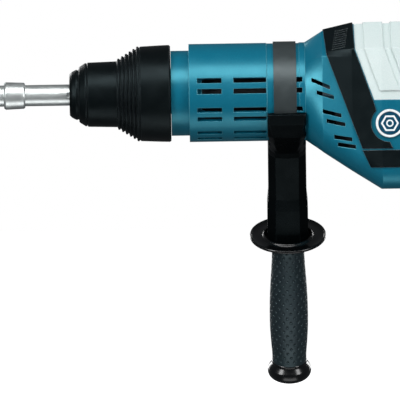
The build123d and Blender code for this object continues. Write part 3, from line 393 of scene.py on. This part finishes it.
def pits(distance, turn):
    """How deep the grip's staggered pits are at a point of its surface."""
    column = turn / (2 * math.pi) * PIT_COLUMNS
    nearest = round(column)
    across = (column - nearest) * 2 * math.pi * GRIP_R / PIT_COLUMNS
    row = (distance - PITS_FROM) / PIT_PITCH - 0.5 * (nearest % 2)
    lengthwise = (row - round(row)) * PIT_PITCH
    centre = PITS_FROM + (round(row) + 0.5 * (nearest % 2)) * PIT_PITCH
    if not PITS_FROM - 0.1 <= centre <= PITS_TO:
        return 0.0
    off = math.hypot(across, lengthwise) / PIT_R
    return PIT_DEPTH * (1 - off ** 2) if off < 1 else 0.0


# Outlines of the turned pieces on the grip, as distance from the guard disc and radius.
GRIP_LINE = [(3.6, 17.2), (7.0, 16.3), (11.0, 14.6), (15.0, 13.9), (28.0, 14.3), (47.0, 15.5), (66.0, 16.3),
             (88.0, 16.35), (103.0, 15.6), (115.0, 14.7), (123.5, 14.6), (126.0, 14.9)]
grip_line = eased(GRIP_LINE, 270)
grip_sleeve = piece("grip_sleeve", *lathe(grip_line, on_grip, 300, pits), soft_rubber,
                    "grip", "black_rubber")
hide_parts("side_grip")

END_LINE = [(121.5, 14.0), (122.4, 14.9), (124.0, 15.1), (126.0, 16.3), (128.2, 18.0), (130.5, 18.6),
            (133.5, 18.5), (136.2, 17.2), (138.2, 14.6), (139.3, 11.4), (139.5, 9.0)]
END_DIMPLE = [(139.3, 8.2), (138.4, 7.8), (138.1, 7.0), (138.0, 3.4), (138.3, 2.9), (138.3, 1.2)]
end_line = eased(END_LINE, 60) + END_DIMPLE
grip_end = piece("grip_end", *lathe(end_line, on_grip, 96), gloss_black, "grip", "gloss_black")

DISC_LINE = [(0.45, 4.6), (0.4, 19.2), (-0.3, 19.7), (-1.1, 19.9), (-1.3, 20.4), (-1.1, 20.9), (-0.4, 21.6),
             (0.4, 22.2), (0.8, 23.4), (0.8, 27.0), (0.6, 30.2), (0.0, 31.0), (-0.5, 31.5), (-0.6, 31.9),
             (-0.3, 32.4), (0.4, 32.7), (1.2, 32.7), (1.9, 32.4), (2.3, 31.7), (2.5, 30.0), (2.8, 25.0),
             (3.4, 20.4), (4.4, 18.0), (5.6, 17.1), (6.8, 16.9), (7.0, 15.8)]
guard_disc = piece("guard_disc", *lathe(DISC_LINE, on_grip, 144), gloss_black, "grip", "gloss_black")


# The bellows on the two damper rods, between the end cover and the rear handle.
BELLOWS_R, FOLD_DEPTH, FOLDS, BELLOWS_END_R = 12.4, 1.5, 4, 10.8
BELLOWS_REACH = 14  # the outer radius of the CAD's bellows, from a rod's middle to its box


def bellows():
    lows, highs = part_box("handle_bellows")
    start, end = lows.x / MM, highs.x / MM
    points, faces, count = [], [], 48
    for z in (highs.z / MM - BELLOWS_REACH, lows.z / MM + BELLOWS_REACH):
        line = []
        for i in range(count + 1):
            t = i / count
            wave = math.cos(t * 2 * math.pi * FOLDS)
            line.append((start + (end - start) * t, BELLOWS_R - FOLD_DEPTH * wave))
        tube, sides = lathe([(start, BELLOWS_END_R)] + line[1:-1] + [(end, BELLOWS_END_R)],
                           lambda x, r, a, z=z: Vector((x, r * math.sin(a), z + r * math.cos(a))), 64)
        faces += [tuple(i + len(points) for i in face) for face in sides]
        points += tube
    made = piece("damper_bellows", points, faces, soft_rubber, None, "black_rubber")
    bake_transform(made)
    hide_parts("handle_bellows")


bellows()


# The rubber lip behind the dust cap and the washer in front of the locking sleeve.
def on_spindle(x, radius, turn):
    """A point round the tool's own axis."""
    return Vector((x, radius * math.sin(turn), radius * math.cos(turn)))


def chuck_seals():
    cap_back, sleeve_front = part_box("dust_cap")[1].x / MM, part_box("locking_sleeve")[0].x / MM
    ring_front, ring_back = (corner.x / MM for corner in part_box("chuck_ring"))
    lip = [(cap_back - 0.1, 16.0), (ring_front + 0.1, 16.0), (ring_front + 0.1, 21.7),
           (ring_front - 0.3, 21.2), (cap_back + 0.3, 20.8), (cap_back - 0.1, 20.9)]
    washer = [(ring_back - 0.1, 17.0), (sleeve_front - 0.05, 17.0), (sleeve_front - 0.05, 25.9),
              (ring_back - 0.1, 26.3)]
    for name, section in (("dust_lip", lip), ("chuck_washer", washer)):
        piece(name, *hoop(section, on_spindle, 96), sleeve_black, "spindle", "black_rubber", smooth=False)


chuck_seals()


# The coil springs, in the place of the CAD's spring nodes, each riding on a body.
def coil_spring(name, node, wire, turns, body, joint):
    """Coils of a wire radius in the place of a node, one for each height that the node has a spring at."""
    lows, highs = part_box(node)
    start, end, radius = lows.x / MM + wire, highs.x / MM - wire, highs.y / MM - wire
    centres = sorted({round(highs.z / MM - wire - radius, 1), round(lows.z / MM + wire + radius, 1)})
    points, faces, around, count = [], [], 8, int(40 * turns)
    for z in centres:
        base = len(points)
        for i in range(count + 1):
            turn = 2 * math.pi * turns * i / count
            out = Vector((0, math.sin(turn), math.cos(turn)))
            middle = Vector((start + (end - start) * i / count, 0, z)) + out * radius
            for k in range(around):
                angle = 2 * math.pi * k / around
                points.append(middle + (out * math.cos(angle) + Vector((1, 0, 0)) * math.sin(angle)) * wire)
        for i in range(count):
            for k in range(around):
                a, b = base + i * around + k, base + i * around + (k + 1) % around
                faces.append((a, b, b + around, a + around))
        faces.append(tuple(base + k for k in reversed(range(around))))
        faces.append(tuple(base + count * around + k for k in range(around)))
    made = piece(name, points, faces, spring_steel, body, "bearing_steel")
    travel = max(abs(limit) for limit in joints[joint]["range_m"]) / MM
    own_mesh(made)
    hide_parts(node)


coil_spring("sleeve_coil", "sleeve_spring", 1.2, 5, "spindle", "sleeve_slide")
coil_spring("damper_coils", "damper_springs", 0.8, 2.5, "housing", "handle_damping")


# A dark pressed sheet behind each row of slots in the gear housing, put there as painted shade so that the
# slots look black.
def slot_shade_sheets():
    points, faces = [], []
    section = [(40.6, 22.0), (38.2, 20.4), (37.6, -8.0), (37.6, -24.0), (36.4, -46.0), (34.0, -48.0)]
    for side in (1, -1):
        base = len(points)
        for x, out, longer in ((122.8, 0.0, 1.0), (135.0, 1.2, 1.07), (148.5, 2.2, 1.13)):
            for thickness in (0.0, -1.2):
                points += [Vector((x, side * (y + out + thickness), z * longer)) for y, z in section]
        count = len(section)
        rows = [[base + (station * 2 + layer) * count + k for k in range(count)]
                for station in range(3) for layer in range(2)]
        loops = [rows[2 * station] + rows[2 * station + 1][::-1] for station in range(3)]
        for first, second in zip(loops, loops[1:]):
            for k in range(2 * count):
                n = (k + 1) % (2 * count)
                faces.append((first[k], first[n], second[n], second[k]))
        faces += [tuple(loops[0]), tuple(reversed(loops[-1]))]
    piece("slot_shade_sheets", points, faces, shell_black, "housing", "black_plastic", smooth=False)


slot_shade_sheets()


# The badge's raised emblem on both sides: a ring round a hexagon.
def prism(points, faces, loops, low, high, place):
    """Adds a flat ring between two outlines of the same count, raised from low to high."""
    base, count = len(points), len(loops[0])
    for loop, height in ((loops[0], low), (loops[0], high), (loops[1], high), (loops[1], low)):
        points += [place(x, z, height) for x, z in loop]
    for row in range(3):
        for i in range(count):
            j = (i + 1) % count
            faces.append((base + row * count + i, base + row * count + j,
                          base + (row + 1) * count + j, base + (row + 1) * count + i))


def emblem():
    lows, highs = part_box("badge")
    x0, z0 = (lows.x + highs.x) / 2 / MM, (lows.z + highs.z) / 2 / MM
    face, sunk, raised = highs.y / MM, -0.4, 0.45
    circle, hexagon = ([(math.cos(math.radians(a)), math.sin(math.radians(a))) for a in range(0, 360, step)]
                       for step in (5, 60))
    points, faces = [], []
    for side in (1, -1):
        def place(x, z, height, side=side):
            return Vector((x0 + x, side * (face + height), z0 + z))
        for outline, outer, inner in ((circle, 11.9, 9.9), (hexagon, 7.6, 5.9), (circle, 3.1, 1.9)):
            loops = [[(size * x, size * z) for x, z in outline] for size in (outer, inner)]
            prism(points, faces, loops, sunk, raised, place)
    made = piece("badge_emblem", points, faces, badge_silver, "housing", "silver_paint", smooth=False)
    rounded = made.modifiers.new("rounded", "BEVEL")
    rounded.width, rounded.segments, rounded.limit_method = 0.22 * MM, 2, "ANGLE"


emblem()


# Raised ribs across the band's upper facet, on both sides. The facet runs from the crease at the top of the
# housing's side to the edge of its flat top, and it widens towards the back.
RIBS, FIRST_RIB, RIB_PITCH, RIB_WIDTH, RIB_SHIFT = 9, 0.10, 0.085, 0.042, 0.35
RIB_FRONT, RIB_BACK, RIB_FOOT, RIB_TOP = 121.5, 132.5, 0.9, 2.0
FACET_FRONT, FACET_LENGTH = 113.0, 25.0


def band_ribs():
    points, faces = [], []
    for side in (1, -1):
        for i in range(RIBS):
            t0, t1 = FIRST_RIB + RIB_PITCH * i, FIRST_RIB + RIB_PITCH * i + RIB_WIDTH
            corner = []
            for x in (RIB_FRONT + RIB_SHIFT * i, RIB_BACK + RIB_SHIFT * i):
                part = (x - FACET_FRONT) / FACET_LENGTH
                half, top = 46.5 + 5.5 * part, 50.6 + 5.6 * part
                flat, crease = 19.0 + 2.0 * part, 29.0 + 5.0 * part
                along = Vector((0, flat - half, top - crease))
                out = Vector((0, top - crease, half - flat)).normalized()
                for t in (t0, t1):
                    foot = Vector((x, half, crease)) + along * t
                    corner.append([foot + out * RIB_FOOT, foot + out * RIB_TOP])
            ring = [corner[0], corner[1], corner[3], corner[2]]
            base = len(points)
            for low, high in ring:
                points += [Vector((low.x, side * low.y, low.z)), Vector((high.x, side * high.y, high.z))]
            faces.append(tuple(base + k for k in (1, 3, 5, 7)))
            faces.append(tuple(base + k for k in (6, 4, 2, 0)))
            for k in range(4):
                n = (k + 1) % 4
                faces.append((base + 2 * k, base + 2 * n, base + 2 * n + 1, base + 2 * k + 1))
    made = piece("band_ribs", points, faces, band_rubber, "housing", "black_rubber", smooth=False)
    rounded = made.modifiers.new("rounded", "BEVEL")
    rounded.width, rounded.segments, rounded.limit_method = 0.3 * MM, 3, "ANGLE"


band_ribs()


# ---------------------------------------------------------------- floor, light and camera
FLOOR_HALF, FLOOR_GAP = 60.0, 0.012


def floor():
    """A pale floor, seen by the camera but not by the object."""
    look = bpy.data.materials.new("pale_floor")
    look.use_nodes = True
    tree = look.node_tree
    shader = tree.nodes["Principled BSDF"]
    shader.inputs["Roughness"].default_value = 0.9
    shader.inputs["Specular IOR Level"].default_value = 0.0
    shader.inputs["Emission Color"].default_value = (1, 1, 1, 1)
    shader.inputs["Emission Strength"].default_value = 0.985
    place = tree.nodes.new("ShaderNodeTexCoord")
    cloud = tree.nodes.new("ShaderNodeTexNoise")
    cloud.inputs["Scale"].default_value = 3.0
    tone = tree.nodes.new("ShaderNodeMix")
    tone.data_type = "RGBA"
    tone.inputs[6].default_value, tone.inputs[7].default_value = (0.48, 0.48, 0.48, 1), (0.52, 0.52, 0.52, 1)
    tree.links.new(place.outputs["Object"], cloud.inputs["Vector"])
    tree.links.new(cloud.outputs["Fac"], tone.inputs["Factor"])
    tree.links.new(tone.outputs[2], shader.inputs["Base Color"])
    corners = [(x * FLOOR_HALF, y * FLOOR_HALF, cad_low.z - FLOOR_GAP)
               for x, y in ((-1, -1), (1, -1), (1, 1), (-1, 1))]
    mesh = bpy.data.meshes.new("floor")
    mesh.from_pydata(corners, [], [(0, 1, 2, 3)])
    mesh.materials.append(look)
    ground = bpy.data.objects.new("floor", mesh)
    bpy.context.scene.collection.objects.link(ground)
    ground.visible_diffuse = ground.visible_glossy = ground.visible_shadow = False


LIT_POINT = Vector((0.12, 0.0, -0.03))


def softbox(name, azimuth, elevation, distance, width, height, power):
    """A soft white area light at a direction from the tool, turned towards it."""
    light = bpy.data.lights.new(name, "AREA")
    light.shape, light.size, light.size_y = "RECTANGLE", width, height
    light.energy = power
    obj = bpy.data.objects.new(name, light)
    bpy.context.scene.collection.objects.link(obj)
    a, e = math.radians(azimuth), math.radians(elevation)
    back = Vector((math.sin(a) * math.cos(e), -math.cos(a) * math.cos(e), math.sin(e)))
    obj.location = LIT_POINT + back * distance
    obj.rotation_mode = "QUATERNION"
    obj.rotation_quaternion = (-back).to_track_quat("-Z", "Y")


floor()
softbox("key", -4, 50, 1.5, 1.6, 0.80, 17)
softbox("low_fill", 0, -72, 1.5, 1.5, 0.8, 5.5)
softbox("right_fill", 46, 12, 1.7, 0.55, 1.0, 13)
softbox("left_fill", -46, 14, 1.7, 0.55, 1.0, 15)
softbox("right_back", 148, 12, 1.8, 0.6, 0.9, 9)
softbox("left_back", -148, 12, 1.8, 0.6, 0.9, 9)

# White where the camera sees it, and dim where it lights the tool.
world = bpy.data.worlds.new("studio")
bpy.context.scene.world = world
world.use_nodes = True
tree = world.node_tree
background = tree.nodes["Background"]
ray = tree.nodes.new("ShaderNodeLightPath")
seen = tree.nodes.new("ShaderNodeMix")
seen.data_type = "RGBA"
seen.inputs[6].default_value = (0.08, 0.085, 0.09, 1)
seen.inputs[7].default_value = (1.0, 1.0, 1.0, 1)
tree.links.new(ray.outputs["Is Camera Ray"], seen.inputs["Factor"])
tree.links.new(seen.outputs[2], background.inputs["Color"])

# The camera looks level along +Y from far off, through a long lens, and is rolled a little.
FRAME_WIDTH, DISTANCE, ROLL = 0.340, 10.0, -0.92
VIEW_X, VIEW_Z = 0.0078, -0.0910
camera = bpy.data.objects.new("camera", bpy.data.cameras.new("camera"))
bpy.context.scene.collection.objects.link(camera)
camera.data.sensor_width = 36.0
camera.data.lens = 36.0 * DISTANCE / FRAME_WIDTH
camera.data.clip_start, camera.data.clip_end = 0.1, 200.0
camera.matrix_world = (Matrix.Translation((VIEW_X, -DISTANCE, VIEW_Z))
                       @ Matrix.Rotation(math.radians(90), 4, "X")
                       @ Matrix.Rotation(math.radians(ROLL), 4, "Z"))
bpy.context.scene.camera = camera
bpy.context.scene.view_settings.view_transform = "Standard"
